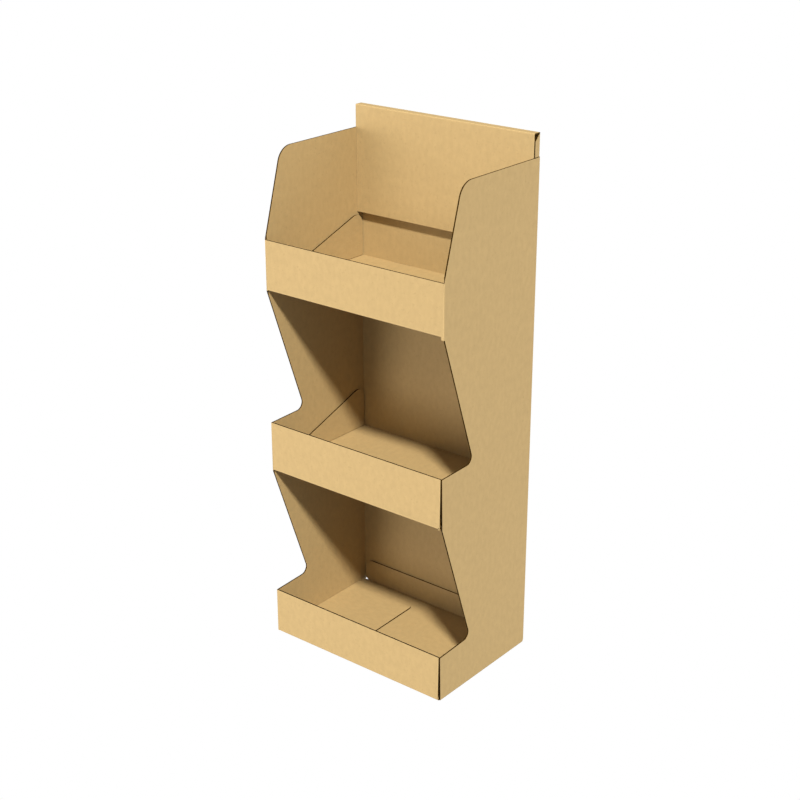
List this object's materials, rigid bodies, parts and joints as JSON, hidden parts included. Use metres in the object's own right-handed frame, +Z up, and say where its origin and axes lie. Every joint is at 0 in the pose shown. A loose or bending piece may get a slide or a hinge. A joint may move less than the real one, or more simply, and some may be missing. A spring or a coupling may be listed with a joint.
{
  "type": "cardboard floor display stand",
  "caption": "Free-standing folded cardboard display stand: tall sleeve with stepped side panels, front lips, tray shelves, a fold-over header box and a tuck-in base.",
  "frame": {"origin": "centre of the footprint on the floor, halfway over the whole depth including the seam flap", "axes": "+X to the stand's right as a shopper faces it, +Y from the lips to the back panel, +Z up"},
  "size_m": [0.6, 0.404, 1.496],
  "materials": {
    "kraft_board": "matte"
  },
  "bodies": {
    "root": {"back_panel": "kraft_board", "left_side_panel": "kraft_board", "right_side_panel": "kraft_board", "seam_flap": "kraft_board", "top_lip": "kraft_board", "middle_lip": "kraft_board", "bottom_lip": "kraft_board", "middle_glue_tab": "kraft_board", "bottom_glue_tab": "kraft_board", "top_shelf": "kraft_board", "middle_shelf": "kraft_board", "bottom_panel": "kraft_board"},
    "header_top": {"header_top": "kraft_board"},
    "header_front": {"header_front": "kraft_board"},
    "header_end_flap_left": {"header_end_flap_left": "kraft_board"},
    "header_end_flap_right": {"header_end_flap_right": "kraft_board"},
    "top_wall_left": {"top_wall_left": "kraft_board"},
    "top_wall_right": {"top_wall_right": "kraft_board"},
    "middle_wall_left": {"middle_wall_left": "kraft_board"},
    "middle_wall_right": {"middle_wall_right": "kraft_board"},
    "tuck_flap": {"tuck_flap": "kraft_board"},
    "dust_flap_left": {"dust_flap_left": "kraft_board"},
    "dust_flap_right": {"dust_flap_right": "kraft_board"}
  },
  "joints": [
    {"name": "header_top_fold", "type": "hinge", "parent": "root", "child": "header_top", "pos_m": [0, 0.198, 1.496], "axis": [-1, 0, 0], "range_deg": [0, 90]},
    {"name": "header_front_fold", "type": "hinge", "parent": "header_top", "child": "header_front", "pos_m": [0, 0.173, 1.496], "axis": [-1, 0, 0], "range_deg": [0, 90]},
    {"name": "header_end_flap_left_fold", "type": "hinge", "parent": "root", "child": "header_end_flap_left", "pos_m": [-0.298, 0.198, 1.463], "axis": [0, 0, -1], "range_deg": [0, 90]},
    {"name": "header_end_flap_right_fold", "type": "hinge", "parent": "root", "child": "header_end_flap_right", "pos_m": [0.298, 0.198, 1.463], "axis": [0, 0, 1], "range_deg": [0, 90]},
    {"name": "top_wall_left_fold", "type": "hinge", "parent": "root", "child": "top_wall_left", "pos_m": [-0.2917, 0, 1.0593], "axis": [0, 1, 0], "range_deg": [0, 90]},
    {"name": "top_wall_right_fold", "type": "hinge", "parent": "root", "child": "top_wall_right", "pos_m": [0.2917, 0, 1.0593], "axis": [0, -1, 0], "range_deg": [0, 90]},
    {"name": "middle_wall_left_fold", "type": "hinge", "parent": "root", "child": "middle_wall_left", "pos_m": [-0.2917, 0, 0.5273], "axis": [0, 1, 0], "range_deg": [0, 90]},
    {"name": "middle_wall_right_fold", "type": "hinge", "parent": "root", "child": "middle_wall_right", "pos_m": [0.2917, 0, 0.5273], "axis": [0, -1, 0], "range_deg": [0, 90]},
    {"name": "tuck_flap_fold", "type": "hinge", "parent": "root", "child": "tuck_flap", "pos_m": [0, 0.1897, 0.0043], "axis": [1, 0, 0], "range_deg": [0, 80]},
    {"name": "dust_flap_left_fold", "type": "hinge", "parent": "root", "child": "dust_flap_left", "pos_m": [-0.2957, 0, 0.0083], "axis": [0, -1, 0], "range_deg": [0, 90]},
    {"name": "dust_flap_right_fold", "type": "hinge", "parent": "root", "child": "dust_flap_right", "pos_m": [0.2957, 0, 0.0083], "axis": [0, 1, 0], "range_deg": [0, 78]}
  ]
}
